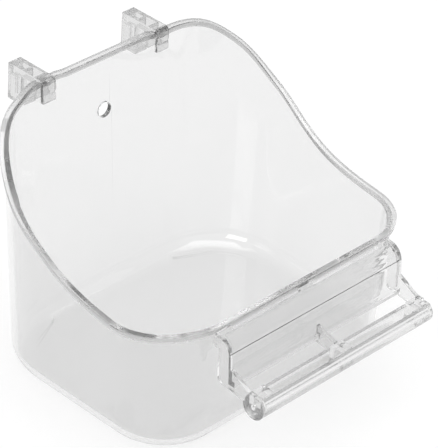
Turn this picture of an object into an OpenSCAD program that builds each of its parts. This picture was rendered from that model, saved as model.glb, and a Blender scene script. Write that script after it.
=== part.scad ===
// Clear plastic feeder cup with two cage hooks and a clip-on perch.
// Millimetres. +Z up, X left to right, -Y is the low front, +Y the cage side.
// The origin is on the flat underside of the tub, in the middle of its width and depth.

/* [Tub] */
// Width of the tub across the top of its back wall, without the rim bead
tub_w = 120; // [100:1:144]
// Depth of the tub at its underside, front wall to back wall
base_d = 85; // [70:1:102]
// Height of the straight rear rim
back_h = 88; // [74:1:106]
// Height of the low front rim
front_h = 48; // [40:1:58]
// Outward lean of every wall, in degrees
draft = 3; // [1:0.5:5]
// Wall thickness
wall = 1.6; // [1.2:0.1:2.4]
// Floor thickness
floor_t = 1.6; // [1.2:0.1:2.4]
// Plan radius of the two front corners, at the underside
front_r = 21; // [14:0.5:28]
// Plan radius of the two rear corners, at the underside
back_r = 27.5; // [18:0.5:33]
// Outer radius between the floor and the walls
base_fillet = 7; // [3:0.5:9]

/* [Rim bead and screw hole] */
// How far the rim bead stands out from the wall
bead_out = 1.3; // [0.8:0.1:2]
// Height of the rim bead
bead_t = 2; // [1.4:0.1:3]
// Diameter of the screw hole in the back wall
hole_d = 5.2; // [3:0.1:7]
// Distance from the rear rim down to the hole's axis
hole_drop = 20; // [15:0.5:30]

/* [Cage hooks] */
// Distance of each hook's middle from the middle of the tub
hook_x = 25; // [18:0.5:25]
// Width of a hook
hook_w = 5.2; // [4:0.1:7]
// How far a hook reaches behind the rim bead
hook_reach = 12; // [9:0.5:16]
// Space for the cage wire between the rim bead and the hook's leg
wire_gap = 6; // [4.5:0.5:8]
// How far a hook hangs below the rim
hook_drop = 12; // [9:0.5:16]

/* [Perch] */
// Length of the perch bracket and its bar
perch_w = 78; // [64:1:92]
// Distance from the front wall to the perch bar's axis
bar_reach = 18.8; // [16:0.2:24]
// Distance from the front rim down to the perch bar's axis
bar_below = 19; // [16:0.2:24]
// Diameter of the perch bar
bar_d = 8.5; // [7:0.1:12]
// Width of the open channel in the top of the bar
channel_w = 4.7; // [3.5:0.1:6]

/* [Hidden] */

$fn = 64;
lean = tan(draft);
fit_gap = 0.15;
eps = 0.01;
clear_plastic = [0.9, 0.93, 0.94, 0.35];

// Tub
half_w = tub_w / 2 - lean * back_h;
half_d = base_d / 2;
inner_fillet = base_fillet - wall;
bead_round = 0.45;
corner_steps = 12;
side_steps = 8;
fillet_steps = 6;
front_y = -(half_d + lean * front_h);
back_y = half_d + lean * back_h;
// The side rim as [share of the depth from the front, share of the rise]
rim_curve = [[0, 0], [0.12, -0.03], [0.27, -0.035], [0.5, 0.1], [0.73, 0.46], [0.88, 0.8], [1, 1]];

// Hooks: v runs backwards from the rim bead's outer face, w up from the rim
bead_y = back_y + bead_out;
hook_lift = 0.95;
hook_top_t = 2.4;
hook_plate_t = 1.3;
rim_span = bead_out + wall;
claw_t = 1.5;
barb_t = 1;
barb_drop = 1.6;
barb_reach = 0.6 * bead_out;
claw_drop = 7;

// Perch: a runs forwards from the front wall at the rim, w up from the front rim
shell_t = 1.5;
shell_top = -0.8;
shell_r = 6;
shell_a = 2.3;
shell_lean = 0.6;
lip_out = 1.1;
lip_t = 1.7;
cheek_t = 1.6;
plate_end = -17;
cheek_end = -17.9;
slot_w = 66;
slot_edge = 3.15;
centre_tab_w = 6;
arm_t = 1.5;
arm_top = -10.6;
rib_top = -12;
foot_l = 5;
foot_up = 0.6;
foot_gap = 0.05;
pin_hole_d = 1.8;
strip_up = sqrt(pow(bar_d / 2, 2) - pow(channel_w / 2, 2));
strip_w = -bar_below + strip_up;
channel_depth = 5.6;
plate_a = shell_a + shell_r;
bar_w = perch_w - 2 * arm_t;

// Slope of the rim curve at knot i, level at both ends
function rim_slope(i) =
    i == 0 || i == len(rim_curve) - 1 ? 0
    : (rim_curve[i + 1][1] - rim_curve[i - 1][1]) / (rim_curve[i + 1][0] - rim_curve[i - 1][0]);

function hermite(u, p, q, m, n) =
    (2 * u * u * u - 3 * u * u + 1) * p + (u * u * u - 2 * u * u + u) * m
    + (3 * u * u - 2 * u * u * u) * q + (u * u * u - u * u) * n;

function rim_share(t, i = 0) =
    t <= 0 ? 0 : t >= 1 ? 1
    : t > rim_curve[i + 1][0] ? rim_share(t, i + 1)
    : let (d = rim_curve[i + 1][0] - rim_curve[i][0])
      hermite((t - rim_curve[i][0]) / d, rim_curve[i][1], rim_curve[i + 1][1],
              rim_slope(i) * d, rim_slope(i + 1) * d);

function rim_z(y) = front_h + (back_h - front_h) * rim_share((y - front_y) / (back_y - front_y));

// A station is [centre x, centre y, radius at the underside, direction]
function corner(cx, cy, r, a0) =
    [for (i = [0 : corner_steps]) [cx, cy, r, a0 + i * 90 / corner_steps]];

function side(cx, y0, y1, r, a) =
    [for (i = [1 : side_steps - 1]) [cx, y0 + (y1 - y0) * i / side_steps, r, a]];

stations = concat(
    corner(-half_w + front_r, -half_d + front_r, front_r, 180),
    corner(half_w - front_r, -half_d + front_r, front_r, 270),
    side(half_w - back_r, -half_d + front_r, half_d - back_r, back_r, 0),
    corner(half_w - back_r, half_d - back_r, back_r, 0),
    corner(-half_w + back_r, half_d - back_r, back_r, 90),
    side(-half_w + back_r, half_d - back_r, -half_d + front_r, back_r, 180));

function at(s, out) = [s[0] + (s[2] + out) * cos(s[3]), s[1] + (s[2] + out) * sin(s[3])];

// Height of the rim at a station: the wall leans, so it is found in a few rounds
function top_of(s, z = back_h, n = 5) = n == 0 ? z : top_of(s, rim_z(at(s, lean * z)[1]), n - 1);

// Section of the wall at a rim height, as [outward distance, height]
function outer_fillet() =
    [for (i = [0 : fillet_steps]) let (a = 90 * i / fillet_steps, z = base_fillet * (1 - cos(a)))
        [lean * z - base_fillet * (1 - sin(a)), z]];

function inner_fillet_points() =
    [for (i = [fillet_steps : -1 : 0]) let (a = 90 * i / fillet_steps, z = floor_t + inner_fillet * (1 - cos(a)))
        [lean * z - wall - inner_fillet * (1 - sin(a)), z]];

function section(z) = concat(
    outer_fillet(),
    [[lean * (z - bead_t - bead_round), z - bead_t - bead_round],
     [lean * z + bead_out - bead_round, z - bead_t],
     [lean * z + bead_out, z - bead_t + bead_round],
     [lean * z + bead_out, z - bead_round],
     [lean * z + bead_out - bead_round, z],
     [lean * z - wall + bead_round, z],
     [lean * z - wall, z - bead_round]],
    inner_fillet_points());

ring = len(section(front_h));
count = len(stations);
tub_points = [for (s = stations) for (p = section(top_of(s))) let (q = at(s, p[0])) [q[0], q[1], p[1]]];
// The flat faces start half way round a corner, away from the straight sides
turn = corner_steps / 2;
tub_faces = concat(
    [[for (i = [0 : count - 1]) ((i + turn) % count) * ring]],
    [[for (i = [count - 1 : -1 : 0]) ((i + turn) % count) * ring + ring - 1]],
    [for (i = [0 : count - 1]) for (j = [0 : ring - 2]) let (n = (i + 1) % count)
        [i * ring + j, i * ring + j + 1, n * ring + j]],
    [for (i = [0 : count - 1]) for (j = [0 : ring - 2]) let (n = (i + 1) % count)
        [i * ring + j + 1, n * ring + j + 1, n * ring + j]]);

// Part of a circle as points, counted in degrees from the first axis to the second
function arc(cx, cy, r, a0, a1, n) =
    [for (i = [0 : n]) let (a = a0 + (a1 - a0) * i / n) [cx + r * cos(a), cy + r * sin(a)]];

module tub() color(clear_plastic) difference() {
    polyhedron(points = tub_points, faces = tub_faces, convexity = 6);
    translate([0, back_y + 2, back_h - hole_drop])
        rotate([90, 0, 0]) cylinder(d = hole_d, h = 12);
}

// A profile drawn as [v, w] and run along X, centred
module along_x(width) rotate([90, 0, 90]) linear_extrude(width, center = true) children();

// The jaw holds the rim bead: over the top, under its outer edge and down the inside
module hook_jaw() along_x(hook_w) polygon(concat(
    [[fit_gap + barb_t, hook_lift - eps],
     [fit_gap + barb_t, -claw_drop],
     [fit_gap, -claw_drop],
     [fit_gap, -bead_t - barb_drop],
     [-barb_reach, -bead_t - bead_round - fit_gap - 0.35],
     [-barb_reach, -bead_t - bead_round - fit_gap],
     [fit_gap, -bead_t - fit_gap],
     [fit_gap, fit_gap],
     [-rim_span - fit_gap, fit_gap],
     [-rim_span - fit_gap, -bead_round],
     [-rim_span - fit_gap - lean * claw_drop, -claw_drop]],
    arc(-rim_span - fit_gap - claw_t + 0.6, -claw_drop + 0.75, 0.75, 270, 120, 6),
    [[-rim_span - claw_t + 0.5, -claw_drop + 2.2]],
    arc(-rim_span - fit_gap - claw_t + 0.9, -claw_drop + 4.2, 1.3, 220, 140, 5),
    arc(-rim_span - fit_gap - claw_t + 1.8, hook_lift - 2, 2, 180, 90, 8)));

// The block is a bridge over the wire gap, and a leg with a recess in each side
module hook_block() {
    translate([-hook_w / 2, fit_gap, hook_lift - hook_top_t])
        cube([hook_w, hook_reach - fit_gap, hook_top_t]);
    difference() {
        translate([-hook_w / 2, wire_gap, -hook_drop])
            cube([hook_w, hook_reach - wire_gap, hook_drop + hook_lift - hook_top_t + eps]);
        for (x = [-hook_w, hook_plate_t / 2])
            translate([x, wire_gap + hook_plate_t, hook_plate_t - hook_drop])
                cube([hook_w - hook_plate_t / 2, hook_reach - wire_gap - 2 * hook_plate_t,
                      hook_drop + hook_lift - hook_top_t - hook_plate_t]);
    }
}

module hook(x) color(clear_plastic) translate([x, bead_y, back_h]) {
    hook_jaw();
    hook_block();
}

module hook_left() hook(-hook_x);

module hook_right() hook(hook_x);

// Puts a profile drawn as [a, w] in front of the front wall, with its back to the tub
module in_front(x) translate([x, front_y, front_h]) mirror([0, 1, 0]) children();

module shell() in_front(0) along_x(perch_w) polygon(concat(
    arc(shell_a, shell_top - shell_r, shell_r, 82, 0, 12),
    [[plate_a + shell_lean, plate_end + lip_t + 0.3],
     [plate_a + shell_lean + lip_out, plate_end + lip_t],
     [plate_a + shell_lean + lip_out, plate_end],
     [plate_a + shell_lean - shell_t, plate_end]],
    arc(shell_a, shell_top - shell_r, shell_r - shell_t, 0, 79, 12)));

// A tab closes the slot between the shell and the rim bead
module rim_tab(x, width) in_front(x) along_x(width) polygon([
    [bead_out + fit_gap, -0.4],
    [slot_edge + 0.6, shell_top - 0.05],
    [slot_edge + 0.6, shell_top - 1.4],
    [bead_out + fit_gap, -1.7]]);

// A cheek closes each end of the shell and reaches under the bead to the wall
module cheek(x) in_front(x) along_x(cheek_t) polygon(concat(
    [[fit_gap + 0.6, -bead_t - fit_gap],
     [bead_out + 1, -bead_t - fit_gap],
     [slot_edge + 0.2, shell_top - 0.3]],
    arc(shell_a, shell_top - shell_r, shell_r - 0.02, 70, 0, 10),
    [[plate_a + shell_lean - 0.02, plate_end + lip_t],
     [plate_a + shell_lean + lip_out, plate_end + lip_t],
     [plate_a + shell_lean + lip_out, cheek_end]],
    arc(5.6, cheek_end + 2, 2, 270, 180, 6),
    [[3.3, -6.3], [2.8, -5.8], [fit_gap + 0.9, -5.6]]));

// An arm slopes from the shell down to the top of the bar
module arm(x, top) in_front(x) along_x(arm_t) difference() {
    polygon([
        [plate_a - 0.4, top],
        [bar_reach - channel_w / 2, strip_w + foot_up],
        [bar_reach, strip_w + foot_up],
        [bar_reach, -bar_below - 0.6],
        [plate_a + shell_lean - 0.4, cheek_end + 0.02]]);
    if (abs(x) < bar_w / 2)
        difference() {
            translate([bar_reach, -bar_below]) circle(d = bar_d + 2 * foot_gap);
            translate([bar_reach - channel_w / 2 + foot_gap, -bar_below])
                square([channel_w, bar_d]);
        }
}

module end_disc(x) in_front(x) difference() {
    translate([-arm_t / 2, bar_reach, -bar_below]) rotate([0, 90, 0]) cylinder(d = bar_d, h = arm_t);
    translate([-arm_t, bar_reach - bar_d, strip_w]) cube([2 * arm_t, 2 * bar_d, bar_d]);
    translate([-arm_t, bar_reach, -bar_below]) rotate([0, 90, 0]) cylinder(d = pin_hole_d, h = 2 * arm_t);
}

// A foot sits in the bar's channel and holds the bar
module foot(x, length) in_front(x)
    translate([-length / 2, bar_reach - channel_w / 2 + foot_gap, strip_w - channel_depth])
        cube([length, channel_w - 2 * foot_gap, channel_depth + foot_up]);

module perch_bracket() color(clear_plastic) {
    shell();
    for (s = [-1, 1]) {
        rim_tab(s * (slot_w / 2 + perch_w / 2) / 2, (perch_w - slot_w) / 2);
        cheek(s * (perch_w - cheek_t) / 2);
        arm(s * (perch_w - arm_t) / 2, arm_top);
        end_disc(s * (perch_w - arm_t) / 2);
        foot(s * (bar_w - foot_l) / 2, foot_l);
    }
    rim_tab(0, centre_tab_w);
    arm(0, rib_top);
    foot(0, foot_l);
}

module perch_bar() color(clear_plastic) in_front(0) difference() {
    translate([-bar_w / 2, bar_reach, -bar_below]) rotate([0, 90, 0]) cylinder(d = bar_d, h = bar_w);
    translate([-bar_w, bar_reach - channel_w / 2, strip_w - channel_depth])
        cube([2 * bar_w, channel_w, bar_d]);
}

tub();
hook_left();
hook_right();
perch_bracket();
perch_bar();
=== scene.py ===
# Clear moulded feeder cup with two cage hooks and a clip-on perch.
import math

import bpy
from mathutils import Matrix, Vector


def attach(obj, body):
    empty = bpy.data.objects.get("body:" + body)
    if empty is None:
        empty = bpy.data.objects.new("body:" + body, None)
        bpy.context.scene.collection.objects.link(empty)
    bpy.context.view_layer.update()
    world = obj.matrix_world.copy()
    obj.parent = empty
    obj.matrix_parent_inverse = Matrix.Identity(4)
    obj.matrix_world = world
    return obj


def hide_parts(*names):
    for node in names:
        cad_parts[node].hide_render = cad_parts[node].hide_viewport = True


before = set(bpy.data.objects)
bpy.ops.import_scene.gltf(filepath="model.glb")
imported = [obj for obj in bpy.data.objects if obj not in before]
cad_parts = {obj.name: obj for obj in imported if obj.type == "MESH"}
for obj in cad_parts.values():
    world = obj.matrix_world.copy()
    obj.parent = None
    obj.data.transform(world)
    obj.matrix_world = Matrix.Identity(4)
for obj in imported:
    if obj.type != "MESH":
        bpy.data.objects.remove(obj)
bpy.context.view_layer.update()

# ---------------------------------------------------------------- table, lamps and camera
# The cup stands on a pale light table in a white studio with wide soft lamps. None of this
# is part of the cup: it only shows clear plastic against something plain and bright.
mm = 0.001
light_passes = 96
table_wide = 6.0
table_below = 0.3 * mm
table_grey = 0.2
table_glow = 0.79
sky_dim = 0.7
sky_full_at = 0.4
sky_strength = 0.86
lamp_aim = Vector((0, 0, 0.04))
camera_turn = math.radians(-47.7)
camera_rise = math.radians(33.84)
camera_roll = math.radians(3.97)
camera_aim = Vector((-2.24, -11.33, 52.75)) * mm
camera_away = 883.1 * mm
camera_lens = 225.1
camera_nearest = 0.01


def deselect_all():
    """Leaves edit mode and deselects every object."""
    if bpy.context.object and bpy.context.object.mode != "OBJECT":
        bpy.ops.object.mode_set(mode="OBJECT")
    bpy.ops.object.select_all(action="DESELECT")


# Light goes through many walls and round the rim before it comes out
scene = bpy.context.scene
scene.view_settings.view_transform = "Standard"
scene.cycles.max_bounces = light_passes
scene.cycles.transmission_bounces = light_passes
scene.cycles.glossy_bounces = light_passes

deselect_all()
bpy.ops.mesh.primitive_plane_add(size=table_wide, location=(0, 0, -table_below))
table = bpy.context.object
table.name = "table"
table_paint = bpy.data.materials.new("table_paint")
table_paint.use_nodes = True
paint = table_paint.node_tree.nodes["Principled BSDF"]
paint.inputs["Base Color"].default_value = (table_grey, table_grey, table_grey, 1)
paint.inputs["Roughness"].default_value = 0.7
paint.inputs["Specular IOR Level"].default_value = 0.1
paint.inputs["Emission Color"].default_value = (1, 1, 1, 1)
paint.inputs["Emission Strength"].default_value = table_glow
table.data.materials.append(table_paint)

# The studio is a little dimmer low down, so the plastic's edges have something to bend
studio = bpy.data.worlds.new("studio")
scene.world = studio
studio.use_nodes = True
studio_nodes = studio.node_tree.nodes
studio_links = studio.node_tree.links
direction = studio_nodes.new("ShaderNodeTexCoord")
split = studio_nodes.new("ShaderNodeSeparateXYZ")
shade = studio_nodes.new("ShaderNodeValToRGB")
studio_links.new(direction.outputs["Generated"], split.inputs[0])
studio_links.new(split.outputs["Z"], shade.inputs[0])
low_stop, high_stop = shade.color_ramp.elements
low_stop.position = 0.0
low_stop.color = (sky_dim, sky_dim, sky_dim, 1)
high_stop.position = sky_full_at
high_stop.color = (1, 1, 1, 1)
studio_links.new(shade.outputs[0], studio_nodes["Background"].inputs["Color"])
studio_nodes["Background"].inputs["Strength"].default_value = sky_strength

for name, spot, size, power in (
    ("lamp_above", Vector((0.1, -0.1, 1.2)), 1.0, 5.0),
    ("lamp_left", Vector((-1.0, -0.3, 0.7)), 0.6, 3.0),
):
    lamp = bpy.data.lights.new(name, "AREA")
    lamp.size = size
    lamp.energy = power
    lamp_object = bpy.data.objects.new(name, lamp)
    lamp_object.location = spot
    lamp_object.rotation_euler = (lamp_aim - spot).to_track_quat("-Z", "Y").to_euler()
    scene.collection.objects.link(lamp_object)

back = Vector((math.sin(camera_turn) * math.cos(camera_rise),
               -math.cos(camera_turn) * math.cos(camera_rise),
               math.sin(camera_rise)))
level = Vector((math.cos(camera_turn), math.sin(camera_turn), 0))
upward = back.cross(level)
right = level * math.cos(camera_roll) + upward * math.sin(camera_roll)
up = upward * math.cos(camera_roll) - level * math.sin(camera_roll)
camera = bpy.data.cameras.new("camera")
camera.lens = camera_lens
camera.clip_start = camera_nearest
camera_object = bpy.data.objects.new("camera", camera)
turned = Matrix((right, up, back)).transposed().to_4x4()
camera_object.matrix_world = Matrix.Translation(camera_aim + back * camera_away) @ turned
scene.collection.objects.link(camera_object)
scene.camera = camera_object

# ---------------------------------------------------------------- tub
# The tub is one injection moulding in clear polystyrene: a rounded scoop with leaning walls,
# a high flat back with a screw hole, and a solid bead round its rim. Everything clips to it.
lean = math.tan(math.radians(3.0))
back_height = 88.0 * mm
front_height = 48.0 * mm
wall = 1.6 * mm
half_width = 60.0 * mm - lean * back_height
half_depth = 42.5 * mm
front_corner = 21.0 * mm
rear_corner = 27.5 * mm
corner_steps = 20
side_cuts = 15
end_cuts = 11
floor_round = 7.0 * mm
floor_steps = 8
bead_out = 1.3 * mm
bead_tall = 2.0 * mm
bead_round = 0.45 * mm
rim_ease = 1.0 * mm
ease_start = 12.0 * mm
ease_end = 30.0 * mm
hole_across = 5.2 * mm
hole_height = back_height - 20.0 * mm
hole_round = 0.35 * mm
drill_long = 12.0 * mm
gate_spot = (2 * mm, -2 * mm, wall)
gate_across = 3.0 * mm
gate_proud = 0.35 * mm
gate_round = 0.25 * mm
rim_rounds = 6
# Two places this close count as one, a little off still counts as by, and a face whose normal
# points this far along an axis faces that way
hair = 0.01 * mm
near = 0.1 * mm
square_on = 0.9
front_wall_y = -(half_depth + lean * front_height)
back_wall_y = half_depth + lean * back_height
# The side rim as share of the depth from the front, and share of the rise
rim_line = ((0, 0), (0.12, -0.03), (0.27, -0.035), (0.5, 0.1), (0.73, 0.46), (0.88, 0.8), (1, 1))


def rim_height(y):
    """Height of the rim at depth y: level along the front and the back, an S between them."""
    t = min(max((y - front_wall_y) / (back_wall_y - front_wall_y), 0), 1)
    last = len(rim_line) - 2
    i = max(k for k in range(last + 1) if rim_line[k][0] <= t)
    (t0, p), (t1, q) = rim_line[i], rim_line[i + 1]
    run = t1 - t0
    into = (q - rim_line[i - 1][1]) / (t1 - rim_line[i - 1][0]) * run if i else 0
    out = (rim_line[i + 2][1] - p) / (rim_line[i + 2][0] - t0) * run if i < last else 0
    u = (t - t0) / run
    share = ((2 * u**3 - 3 * u**2 + 1) * p + (u**3 - 2 * u**2 + u) * into
             + (3 * u**2 - 2 * u**3) * q + (u**3 - u**2) * out)
    return front_height + (back_height - front_height) * share


def leave_edit_mode():
    bpy.ops.object.mode_set(mode="OBJECT")


def take_up(thing):
    """Makes one piece the only one selected, and the active one."""
    deselect_all()
    thing.select_set(True)
    bpy.context.view_layer.objects.active = thing


def put_in_place(thing):
    """Leaves a piece's object at the origin, unturned and unscaled, with its place in its mesh."""
    take_up(thing)
    bpy.ops.object.transform_apply(location=True, rotation=True, scale=True)


def add_sheet(name, long, deep):
    """A flat sheet round the origin, with its size in its mesh."""
    deselect_all()
    bpy.ops.mesh.primitive_plane_add(size=1.0, location=(0, 0, 0))
    sheet = bpy.context.object
    sheet.name = name
    sheet.scale = (long, deep, 1)
    put_in_place(sheet)
    return sheet


def add_cylinder(name, across, length, middle, turn, sides):
    """A cylinder with its place in its mesh."""
    deselect_all()
    bpy.ops.mesh.primitive_cylinder_add(vertices=sides, radius=across / 2, depth=length,
                                        location=middle, rotation=turn)
    cylinder = bpy.context.object
    cylinder.name = name
    put_in_place(cylinder)
    return cylinder


def everywhere(p, item):
    return True


def pick(thing, kind, test):
    """Selects the vertices, edges or faces whose middle passes a test, and enters edit mode."""
    bpy.context.view_layer.objects.active = thing
    leave_edit_mode()
    mesh = thing.data
    for group in (mesh.vertices, mesh.edges, mesh.polygons):
        group.foreach_set("select", [False] * len(group))
    for item in getattr(mesh, kind):
        if kind == "vertices":
            middle = item.co
        elif kind == "edges":
            middle = (mesh.vertices[item.vertices[0]].co + mesh.vertices[item.vertices[1]].co) / 2
        else:
            middle = item.center
        item.select = test(middle, item)
    bpy.ops.object.mode_set(mode="EDIT")
    bpy.ops.mesh.select_mode(type={"vertices": "VERT", "edges": "EDGE", "polygons": "FACE"}[kind])


def draw_out(x, y, z):
    """Extrudes what is picked by a step."""
    bpy.ops.mesh.extrude_region_move(TRANSFORM_OT_translate={"value": (x, y, z)})


def push_out(distance):
    """Extrudes the picked faces along their normals, or sinks them if the distance is negative."""
    bpy.ops.mesh.extrude_region_shrink_fatten(TRANSFORM_OT_shrink_fatten={"value": distance})


def round_corners(radius):
    """Rounds the picked corners of a sheet."""
    bpy.ops.mesh.bevel(offset=radius, segments=corner_steps, affect="VERTICES")


def round_edges(radius, steps):
    """Rounds the picked edges."""
    bpy.ops.mesh.bevel(offset=radius, segments=steps, affect="EDGES")


def apply_modifier(thing, kind, **settings):
    bpy.context.view_layer.objects.active = thing
    leave_edit_mode()
    modifier = thing.modifiers.new(kind.lower(), kind)
    for name, value in settings.items():
        setattr(modifier, name, value)
    bpy.ops.object.modifier_apply(modifier=modifier.name)


def soften(thing, radius, steps, sharper_than):
    """Rounds all edges sharper than an angle, as a polished mould leaves them."""
    apply_modifier(thing, "BEVEL", width=radius, segments=steps, limit_method="ANGLE",
                   angle_limit=math.radians(sharper_than), use_clamp_overlap=True)


def boolean(thing, other, how):
    """Cuts other out of thing, or joins it on, as one clean solid."""
    apply_modifier(thing, "BOOLEAN", operation=how, object=other, solver="EXACT")
    bpy.data.objects.remove(other)


def smooth_over(thing):
    """Smooth shading that keeps wide flat faces flat and hard edges hard."""
    take_up(thing)
    bpy.ops.object.shade_smooth_by_angle(angle=math.radians(35))
    apply_modifier(thing, "WEIGHTED_NORMAL", weight=80, keep_sharp=True)


def clear_plastic(name, tint, gloss, ripple, grain, depth):
    """Clear moulded polystyrene: slightly uneven gloss, and a faint ripple from its mould."""
    plastic = bpy.data.materials.new(name)
    plastic.use_nodes = True
    nodes = plastic.node_tree.nodes
    links = plastic.node_tree.links
    shader = nodes["Principled BSDF"]
    shader.inputs["Base Color"].default_value = (tint, tint, tint, 1)
    shader.inputs["IOR"].default_value = 1.57
    shader.inputs["Transmission Weight"].default_value = 1.0
    place = nodes.new("ShaderNodeTexCoord")
    haze = nodes.new("ShaderNodeTexNoise")
    haze.inputs["Scale"].default_value = grain
    haze.inputs["Detail"].default_value = 4.0
    links.new(place.outputs["Object"], haze.inputs["Vector"])
    uneven = nodes.new("ShaderNodeMapRange")
    uneven.inputs["From Min"].default_value = 0.35
    uneven.inputs["From Max"].default_value = 0.75
    uneven.inputs["To Min"].default_value = gloss[0]
    uneven.inputs["To Max"].default_value = gloss[1]
    links.new(haze.outputs["Fac"], uneven.inputs["Value"])
    links.new(uneven.outputs["Result"], shader.inputs["Roughness"])
    wave = nodes.new("ShaderNodeTexNoise")
    wave.inputs["Scale"].default_value = 45.0
    wave.inputs["Detail"].default_value = 1.5
    links.new(place.outputs["Object"], wave.inputs["Vector"])
    bump = nodes.new("ShaderNodeBump")
    bump.inputs["Strength"].default_value = ripple
    bump.inputs["Distance"].default_value = 0.4 * mm
    links.new(wave.outputs["Fac"], bump.inputs["Height"])
    links.new(bump.outputs["Normal"], shader.inputs["Normal"])
    body = nodes.new("ShaderNodeVolumeAbsorption")
    body.inputs["Color"].default_value = (0.5, 0.5, 0.5, 1)
    body.inputs["Density"].default_value = depth
    links.new(body.outputs["Volume"], nodes["Material Output"].inputs["Volume"])
    return plastic


# The floor's outline: a sheet with its corners rounded and its straight sides divided
tub = add_sheet("tub_shell", 2 * half_width, 2 * half_depth)
pick(tub, "vertices", lambda p, v: p.y < 0)
round_corners(front_corner)
pick(tub, "vertices", lambda p, v: p.y > half_depth - near)
round_corners(rear_corner)
pick(tub, "edges", lambda p, e: abs(p.x) > half_width - near
     and front_corner - half_depth < p.y < half_depth - rear_corner)
bpy.ops.mesh.subdivide(number_cuts=side_cuts)
pick(tub, "edges", lambda p, e: abs(p.x) < near)
bpy.ops.mesh.subdivide(number_cuts=end_cuts)

# The walls rise straight, then lean out by their draft as they are cut down to the rim's line
pick(tub, "polygons", everywhere)
draw_out(0, 0, back_height - bead_tall)
draw_out(0, 0, bead_tall)
bpy.ops.mesh.delete(type="FACE")
leave_edit_mode()
mesh = tub.data
below = {}
for edge in mesh.edges:
    low, high = sorted((mesh.vertices[i] for i in edge.vertices), key=lambda v: v.co.z)
    if high.co.z - low.co.z > near:
        below[high.index] = low
# Where a leaning wall meets the rim depends on the rim's height there, so it is found in rounds
for top in [v for v in mesh.vertices if v.co.z > back_height - near]:
    outward = Vector((top.normal.x, top.normal.y, 0)).normalized()
    foot = Vector((top.co.x, top.co.y, 0))
    z = back_height
    for again in range(rim_rounds):
        z = rim_height(foot.y + outward.y * lean * z)
    top.co = foot + outward * lean * z + Vector((0, 0, z))
    z -= bead_tall
    below[top.index].co = foot + outward * lean * z + Vector((0, 0, z))
wall_edges = {k for f in mesh.polygons if abs(f.normal.z) < 0.5 for k in f.edge_keys}
pick(tub, "edges", lambda p, e: p.z < hair and e.key in wall_edges)
round_edges(floor_round, floor_steps)


def on_bead_strip(p, f):
    """Whether a face of the outer wall lies in the strip that becomes the bead."""
    upright_and_outer = abs(f.normal.z) < 0.3 and f.normal.dot(Vector((p.x, p.y, 0))) > 0
    return upright_and_outer and p.z > rim_height(p.y) - 0.75 * bead_tall


# The wall's thickness goes inwards; then the bead is drawn out round the top of the outside
apply_modifier(tub, "SOLIDIFY", thickness=wall, offset=-1, use_even_offset=True)
pick(tub, "polygons", on_bead_strip)
push_out(bead_out)
leave_edit_mode()
# The rim's inner edge is set back along the front and the sides, and not at all near the hooks
for vertex in tub.data.vertices:
    vertex.co.z = min(vertex.co.z, back_height)
    sideways = Vector((vertex.normal.x, vertex.normal.y, 0))
    from_middle = Vector((vertex.co.x, vertex.co.y, 0))
    at_rim = abs(vertex.co.z - rim_height(vertex.co.y)) < bead_tall / 4
    if at_rim and sideways.dot(from_middle) < 0:
        fade = min(max((ease_end - vertex.co.y) / (ease_end - ease_start), 0), 1)
        vertex.co -= sideways.normalized() * rim_ease * fade
soften(tub, bead_round, steps=3, sharper_than=50)


def on_hole_mouth(p, e):
    """Whether an edge goes round a mouth of the hole, and doesn't run through the wall."""
    one, other = (tub.data.vertices[i].co for i in e.vertices)
    by_hole = math.hypot(p.x, p.z - hole_height) < hole_across / 2 + hair
    return by_hole and abs(one.y - other.y) < wall / 2


# A screw hole with rounded edges under the middle of the back
hole_drill = add_cylinder("drill", hole_across, drill_long, (0, back_wall_y, hole_height),
                          turn=(math.pi / 2, 0, 0), sides=64)
boolean(tub, hole_drill, "DIFFERENCE")
pick(tub, "edges", on_hole_mouth)
round_edges(hole_round, steps=3)
leave_edit_mode()
# The low round mark on the floor where the melt came in
gate = add_cylinder("gate", gate_across, 2 * gate_proud, gate_spot, turn=(0, 0, 0), sides=32)
pick(gate, "polygons", lambda p, f: f.normal.z > square_on)
round_edges(gate_round, steps=3)
leave_edit_mode()
boolean(tub, gate, "UNION")
smooth_over(tub)

# The bead and the top edge come out of the mould a little duller than the polished walls
tub.data.materials.clear()
tub.data.materials.append(clear_plastic("tub_plastic_clear", tint=0.87, gloss=(0.015, 0.06),
                                        ripple=0.05, grain=60.0, depth=4.0))
tub.data.materials.append(clear_plastic("rim_plastic_clear", tint=0.9, gloss=(0.22, 0.34),
                                        ripple=0.04, grain=90.0, depth=3.0))
for face in tub.data.polygons:
    inward = -Vector((face.center.x, face.center.y, 0)).normalized()
    by_rim = face.center.z > rim_height(face.center.y) - 1.25 * bead_tall
    if by_rim and face.normal.dot(inward) < 0.5:
        face.material_index = 1
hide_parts("tub")
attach(tub, "tub")

# ---------------------------------------------------------------- wire hooks
# Two small clear mouldings snap over the rim's bead, and hang the cup from a cage wire. Each has
# a claw down the inside of the wall, a barb under the bead, and a leg behind the wire.
hook_place = 25.0 * mm
hook_wide = 5.2 * mm
hook_reach = 12.0 * mm
hook_drop = 12.0 * mm
hook_rise = 0.95 * mm
hook_round = 0.2 * mm
bridge_thick = 2.4 * mm
leg_start = 6.0 * mm
leg_border = 1.3 * mm
leg_web = 1.3 * mm
snap_gap = 0.15 * mm
barb_wall = 1.0 * mm
barb_below = 1.15 * mm
barb_tall = 1.0 * mm
barb_in = 0.7 * mm
barb_taper = 0.5
claw_thick = 1.5 * mm
claw_drop = 7.0 * mm
claw_round = 1.4 * mm
claw_head = 1.0 * mm
claw_lap = 0.3 * mm
# How far each stretch of the claw runs down, and how far its front then moves back, in mm
claw_steps = ((1.0, -0.2), (0.8, -0.05), (1.3, 0.6), (0.9, -0.35), (1.2, -0.1), (0.8, 0.25))
hook_face_y = back_wall_y + bead_out
claw_back = -(bead_out + wall) - snap_gap
claw_front = claw_back - claw_thick
bridge_under = hook_rise - bridge_thick
barb_under = bridge_under - barb_below - barb_tall


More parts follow.
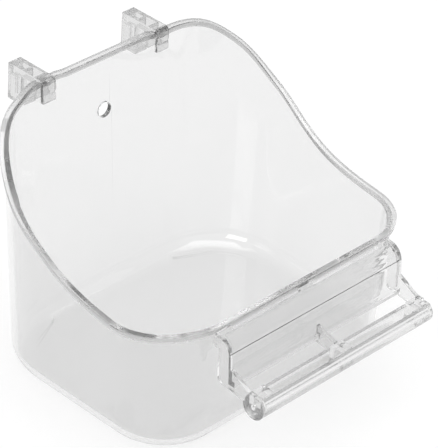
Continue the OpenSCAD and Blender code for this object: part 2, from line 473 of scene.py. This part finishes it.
def cut_across(thing, axis, where):
    """Adds an edge loop all round, where a plane across the axis meets the mesh."""
    pick(thing, "polygons", everywhere)
    normal = [0, 0, 0]
    normal[axis] = 1
    point = [0, 0, 0]
    point[axis] = where
    bpy.ops.mesh.bisect(plane_co=point, plane_no=normal)


def slide(thing, test, step):
    """Moves the vertices whose place passes a test."""
    pick(thing, "vertices", lambda p, v: test(p))
    bpy.ops.transform.translate(value=step)


def add_box(name, low, high):
    """A box between two corners, with its place in its mesh."""
    deselect_all()
    middle = [(a + b) / 2 for a, b in zip(low, high)]
    bpy.ops.mesh.primitive_cube_add(size=1.0, location=middle)
    box = bpy.context.object
    box.name = name
    box.scale = [b - a for a, b in zip(low, high)]
    put_in_place(box)
    return box


# The bridge over the rim and the wire gap, with the leg's block let down from its rear
hook = add_box("hook_left_clip", (-hook_wide / 2, claw_back - claw_lap, snap_gap),
               (hook_wide / 2, hook_reach, hook_rise))
for y in (snap_gap, snap_gap + barb_wall, leg_start):
    cut_across(hook, 1, y)
pick(hook, "polygons", lambda p, f: f.normal.z < -square_on and p.y > snap_gap)
draw_out(0, 0, bridge_under - snap_gap)
pick(hook, "polygons", lambda p, f: f.normal.z < -square_on and p.y > leg_start)
draw_out(0, 0, -hook_drop - bridge_under)
# Each side of the leg is sunk to a thin web inside a border, as the mould's two halves leave it
pick(hook, "polygons", lambda p, f: abs(f.normal.x) > square_on and p.y > leg_start
     and p.z < bridge_under)
bpy.ops.mesh.inset(thickness=leg_border, use_individual=True)
push_out((leg_web - hook_wide) / 2)
# The outer leg hangs from the bridge in three stretches, and the middle one turns in as the barb
pick(hook, "polygons", lambda p, f: f.normal.z < -square_on and snap_gap < p.y < snap_gap + barb_wall)
draw_out(0, 0, -barb_below)
draw_out(0, 0, -barb_tall)
draw_out(0, 0, -claw_drop - barb_under)
pick(hook, "polygons", lambda p, f: f.normal.y < -square_on and abs(p.y - snap_gap) < hair
     and barb_under < p.z < barb_under + barb_tall)
draw_out(0, -barb_in, 0)
bpy.ops.transform.resize(value=(1, 1, barb_taper))
leave_edit_mode()

# The claw is rounded at its front, runs down the inside of the wall and swells twice on the way
claw = add_box("claw", (-hook_wide / 2, claw_front, -claw_head), (hook_wide / 2, claw_back, hook_rise))
pick(claw, "edges", lambda p, e: p.y < claw_front + hair and p.z > hook_rise - hair)
round_edges(claw_round, steps=8)
claw_end = -claw_head
for down, back_by in claw_steps:
    pick(claw, "polygons", lambda p, f: f.normal.z < -square_on and p.z < claw_end + near)
    draw_out(0, -lean * down * mm, -down * mm)
    claw_end -= down * mm
    slide(claw, lambda p: p.z < claw_end + near and p.y < claw_back - claw_thick / 2,
          (0, back_by * mm, 0))
leave_edit_mode()
boolean(hook, claw, "UNION")
soften(hook, hook_round, steps=3, sharper_than=40)
smooth_over(hook)
hook.data.materials.clear()
hook.data.materials.append(clear_plastic("hook_plastic_clear", tint=0.8, gloss=(0.08, 0.2),
                                         ripple=0.08, grain=240.0, depth=24.0))

# The second hook is the same moulding again
take_up(hook)
bpy.ops.object.duplicate()
other_hook = bpy.context.object
other_hook.name = "hook_right_clip"
for clip, side, node in ((hook, -1, "hook_left"), (other_hook, 1, "hook_right")):
    clip.location = (side * hook_place, hook_face_y, back_height)
    put_in_place(clip)
    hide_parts(node)
    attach(clip, node)

# ---------------------------------------------------------------- perch frame
# The perch hangs from the low front rim on one clear moulding: a rounded hood with a lip, closed
# by a cheek at each end, with three arms that reach out and down to carry the bar.
perch_wide = 78.0 * mm
perch_round = 0.2 * mm
hood_thick = 1.5 * mm
hood_round = 6.0 * mm
hood_steps = 14
hood_start = 2.3 * mm
hood_top = -0.8 * mm
hood_lean = 0.6 * mm
hood_end = -17.0 * mm
shoulder_from = math.radians(82)
shoulder_to = math.radians(4.1)
lip_out = 1.1 * mm
lip_tall = 1.7 * mm
lip_lap = 0.3 * mm
cheek_thick = 1.6 * mm
cheek_start = 3.3 * mm
cheek_end = -17.9 * mm
cheek_round = 2.0 * mm
# Between these heights each cheek reaches back, under the bead
grip_top = -2.15 * mm
grip_end = -5.6 * mm
grip_reach = 2.55 * mm
slot_wide = 66.0 * mm
slot_edge = 3.15 * mm
tab_lap = 0.6 * mm
tab_top = -0.4 * mm
tab_end = -1.75 * mm
tab_fall = 0.45 * mm
middle_tab_wide = 6.0 * mm
arm_thick = 1.5 * mm
arm_top = -10.6 * mm
middle_arm_top = -12.0 * mm
arm_below_bar = 0.6 * mm
arm_rear_lift = 1.72 * mm
arm_middle_lift = 0.4 * mm
bar_reach = 18.8 * mm
bar_below = 19.0 * mm
bar_across = 8.5 * mm
channel_wide = 4.7 * mm
channel_deep = 5.6 * mm
pin_hole = 1.8 * mm
pin_deep = 1.7 * mm
foot_long = 5.0 * mm
foot_rise = 0.6 * mm
fit_gap = 0.05 * mm
# Joined pieces stay this far inside the hood's own faces, so that no two faces lie in one plane
skin = 0.02 * mm
hood_face = hood_start + hood_round
lip_top = hood_end + lip_tall
bar_top = math.sqrt((bar_across / 2) ** 2 - (channel_wide / 2) ** 2) - bar_below
bar_long = perch_wide - 2 * arm_thick
bar_gap_rear = bar_reach - channel_wide / 2
bar_gap_front = bar_reach + channel_wide / 2
along_bar = (0, math.pi / 2, 0)
bar_middle = (front_wall_y - bar_reach, front_height - bar_below)
# How far forward, and how high, the tabs and the feet run from end to end
tab_depth = (bead_out + snap_gap, slot_edge + tab_lap)
tab_height = (tab_end, tab_top)
foot_depth = (bar_gap_rear + fit_gap, bar_gap_front - fit_gap)
foot_height = (bar_top - channel_deep, bar_top + foot_rise)


def perch_y(a):
    """Depth of a point that is a in front of the front wall at the rim."""
    return front_wall_y - a


def perch_z(w):
    """Height of a point that is w above the front rim."""
    return front_height + w


# The hood: an edge is spun over the shoulder, drawn down to the lip, and given its thickness
frame_piece = add_sheet("perch_frame", perch_wide, 1 * mm)
pick(frame_piece, "vertices", lambda p, v: p.y > 0)
bpy.ops.mesh.delete(type="VERT")
leave_edit_mode()
shoulder_y = perch_y(hood_start)
shoulder_z = perch_z(hood_top - hood_round)
for vertex in frame_piece.data.vertices:
    vertex.co.y = shoulder_y - hood_round * math.cos(shoulder_from)
    vertex.co.z = shoulder_z + hood_round * math.sin(shoulder_from)
pick(frame_piece, "edges", everywhere)
bpy.ops.mesh.spin(steps=hood_steps, angle=shoulder_from - shoulder_to,
                  center=(0, shoulder_y, shoulder_z), axis=(-1, 0, 0))
leave_edit_mode()
shoulder_end = Vector((0, shoulder_y - hood_round * math.cos(shoulder_to),
                       shoulder_z + hood_round * math.sin(shoulder_to)))
front_foot = Vector((0, perch_y(hood_face + hood_lean), perch_z(lip_top + lip_lap)))
front_edge = min(v.co.y for v in frame_piece.data.vertices)
pick(frame_piece, "edges", lambda p, e: p.y < front_edge + hair and abs(p.x) < near)
draw_out(*(front_foot - shoulder_end))
draw_out(0, 0, -lip_lap - lip_tall)
pick(frame_piece, "polygons", everywhere)
bpy.ops.mesh.normals_make_consistent(inside=False)
leave_edit_mode()
facing = sum(f.normal.y * f.area for f in frame_piece.data.polygons)
apply_modifier(frame_piece, "SOLIDIFY", thickness=hood_thick, offset=1 if facing > 0 else -1,
               use_even_offset=True)
pick(frame_piece, "polygons", lambda p, f: f.normal.y < -square_on and p.y < perch_y(hood_face)
     and p.z < perch_z(lip_top))
draw_out(0, -lip_out, 0)
leave_edit_mode()


def end_span(side, a, b):
    """The stretch from a to b away from the perch's middle, on one side of it."""
    return sorted((side * a, side * b))


def join_box(name, x, a, w, shape=None):
    """Adds a box to the frame: x, a and w are its two ends across, forward and up."""
    box = add_box(name, (x[0], perch_y(a[1]), perch_z(w[0])), (x[1], perch_y(a[0]), perch_z(w[1])))
    if shape:
        shape(box)
    boolean(frame_piece, box, "UNION")


def shape_cheek(box):
    """Rounds a cheek like the hood's end, and lets it reach under the bead and out to the lip."""
    front = perch_y(hood_face) + near
    top = perch_z(hood_top - skin)
    pick(box, "edges", lambda p, e: p.y < front and p.z > top - near)
    round_edges(hood_round - skin, steps=12)
    pick(box, "edges", lambda p, e: p.y > perch_y(cheek_start) - near and p.z < perch_z(cheek_end) + near)
    round_edges(cheek_round, steps=6)
    leave_edit_mode()
    for w in (grip_top, grip_end, lip_top):
        cut_across(box, 2, perch_z(w))
    slide(box, lambda p: p.z < perch_z(lip_top) + hair and p.y < front, (0, -hood_lean, 0))
    pick(box, "polygons", lambda p, f: f.normal.y > square_on
         and perch_z(grip_end) < p.z < perch_z(grip_top))
    draw_out(0, grip_reach, 0)
    pick(box, "polygons", lambda p, f: f.normal.y < -square_on and p.z < perch_z(lip_top))
    draw_out(0, -lip_out, 0)
    leave_edit_mode()


def shape_tab(box):
    """Slopes a tab down a little from the rim to the hood."""
    slide(box, lambda p: p.y < perch_y(sum(tab_depth) / 2), (0, 0, -tab_fall))


def shape_arm(box):
    """Slopes an arm down from the hood to the top of the bar, and its underside down to the bar."""
    corners = [v.co.copy() for v in box.data.vertices]
    top = max(c.z for c in corners) - hair
    bottom = min(c.z for c in corners) + near
    rear = max(c.y for c in corners) - near
    front = min(c.y for c in corners) + near
    fall = perch_z(bar_top + foot_rise) - max(c.z for c in corners)
    cut_across(box, 1, perch_y(bar_gap_rear))
    slide(box, lambda p: p.z > top and p.y < rear, (0, 0, fall))
    slide(box, lambda p: p.z < bottom and p.y > rear, (0, 0, arm_rear_lift))
    slide(box, lambda p: p.z < bottom and front < p.y < rear, (0, 0, arm_middle_lift))
    leave_edit_mode()


# Each end gets a cheek, a tab, an arm, a disc with a pin hole, and a foot
for side in (-1, 1):
    join_box("cheek", end_span(side, perch_wide / 2 - cheek_thick, perch_wide / 2),
             (cheek_start, hood_face - skin), (cheek_end, hood_top - skin), shape_cheek)
    join_box("rim_tab", end_span(side, slot_wide / 2, perch_wide / 2 - fit_gap),
             tab_depth, tab_height, shape_tab)
    join_box("arm", end_span(side, perch_wide / 2 - arm_thick, perch_wide / 2),
             (hood_face, bar_reach), (-bar_below - arm_below_bar, arm_top), shape_arm)
    disc = add_cylinder("disc", bar_across, arm_thick,
                        (side * (perch_wide - arm_thick) / 2, *bar_middle), along_bar, sides=64)
    pick(disc, "polygons", everywhere)
    bpy.ops.mesh.bisect(plane_co=(0, 0, perch_z(bar_top)), plane_no=(0, 0, 1),
                        clear_outer=True, use_fill=True)
    leave_edit_mode()
    boolean(frame_piece, disc, "UNION")
    join_box("foot", end_span(side, bar_long / 2 + fit_gap, bar_long / 2 - foot_long),
             foot_depth, foot_height)
    pin_drill = add_cylinder("drill", pin_hole, 2 * pin_deep,
                             (side * perch_wide / 2, *bar_middle), along_bar, sides=32)
    boolean(frame_piece, pin_drill, "DIFFERENCE")
join_box("rim_tab", (-middle_tab_wide / 2, middle_tab_wide / 2), tab_depth, tab_height, shape_tab)

# The middle arm is a thin rib that is cut clear of the bar and stands on it by a foot
middle_arm = add_box("middle_arm",
                     (-arm_thick / 2, perch_y(bar_reach), perch_z(-bar_below - arm_below_bar)),
                     (arm_thick / 2, perch_y(hood_face), perch_z(middle_arm_top)))
shape_arm(middle_arm)
bar_room = add_cylinder("bar_room", bar_across + 2 * fit_gap, 2 * arm_thick, (0, *bar_middle),
                        along_bar, sides=64)
boolean(middle_arm, bar_room, "DIFFERENCE")
boolean(frame_piece, middle_arm, "UNION")
join_box("foot", (-foot_long / 2, foot_long / 2), foot_depth, foot_height)
soften(frame_piece, perch_round, steps=2, sharper_than=40)
take_up(frame_piece)
bpy.ops.object.shade_smooth_by_angle(angle=math.radians(20))
frame_piece.data.materials.clear()
frame_piece.data.materials.append(clear_plastic("perch_plastic_clear", tint=0.92, gloss=(0.02, 0.07),
                                                ripple=0.06, grain=140.0, depth=26.0))
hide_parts("perch_bracket")
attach(frame_piece, "perch")

# ---------------------------------------------------------------- perch bar
# The bar a bird stands on is a round clear rod with an open channel along its top, where the
# frame's feet plug in. Its ends stop against the frame's end discs.
rod = add_cylinder("perch_rod", bar_across, bar_long - 2 * fit_gap, (0, *bar_middle),
                   along_bar, sides=96)
channel = add_box("channel", (-perch_wide, perch_y(bar_gap_front), perch_z(bar_top - channel_deep)),
                  (perch_wide, perch_y(bar_gap_rear), perch_z(0)))
boolean(rod, channel, "DIFFERENCE")
soften(rod, perch_round, steps=2, sharper_than=40)
smooth_over(rod)
rod.data.materials.clear()
rod.data.materials.append(clear_plastic("bar_plastic_clear", tint=0.92, gloss=(0.02, 0.07),
                                        ripple=0.06, grain=140.0, depth=26.0))
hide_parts("perch_bar")
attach(rod, "perch")
